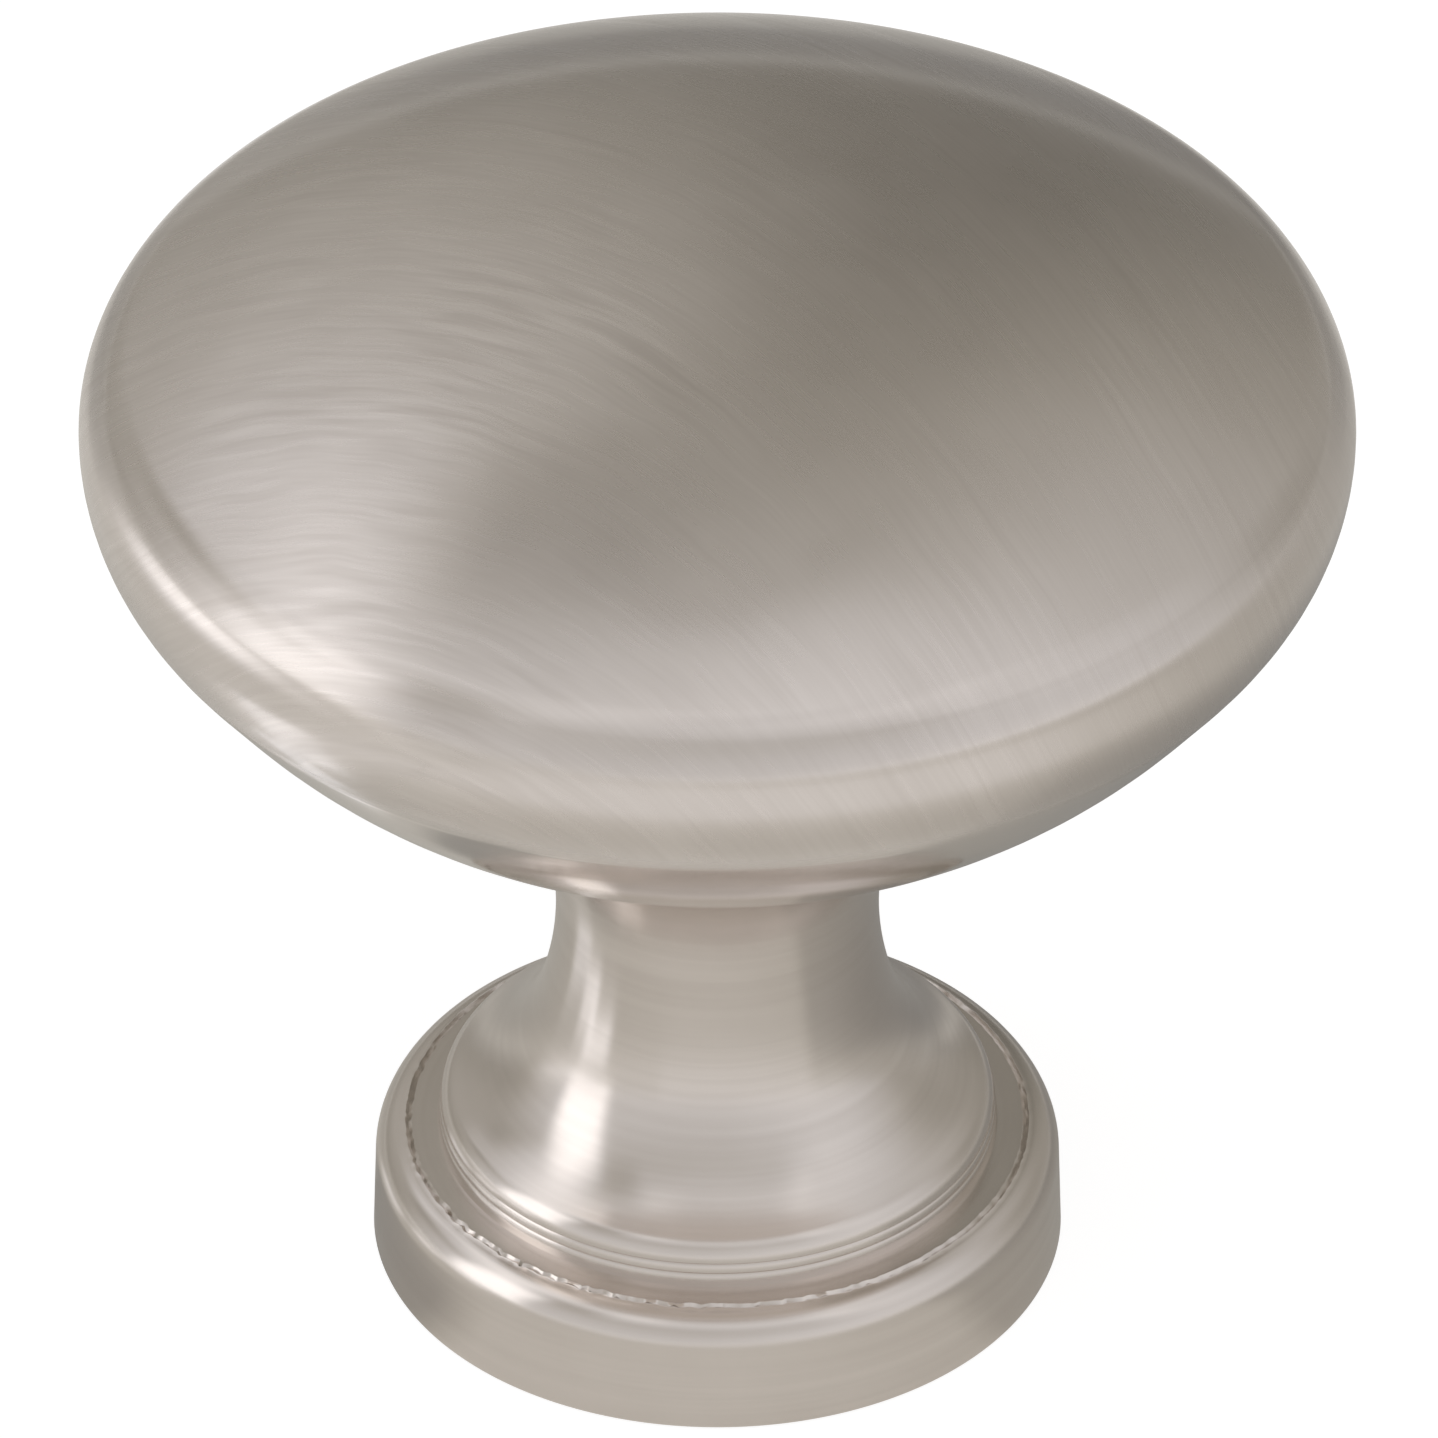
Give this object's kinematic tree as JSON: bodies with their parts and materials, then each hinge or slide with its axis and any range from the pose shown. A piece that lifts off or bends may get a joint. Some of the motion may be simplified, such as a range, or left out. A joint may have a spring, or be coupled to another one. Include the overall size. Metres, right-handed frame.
{
  "type": "cabinet knob",
  "caption": "Mushroom-shaped cabinet knob with a shallow domed head, a waisted neck flaring to a rolled lip, a round foot and a tapped hole in its flat back.",
  "frame": {"origin": "centre of the foot's flat back, where the knob's axis meets the door or drawer front", "axes": "+Z along the knob's axis, from the flat back out towards the dome; X and Y lie in the back's plane"},
  "size_m": [0.032, 0.032, 0.0312],
  "materials": {
    "satin_nickel": "brushed satin nickel plating over die-cast zinc"
  },
  "bodies": {
    "root": {"knob": "satin_nickel"}
  },
  "joints": []
}
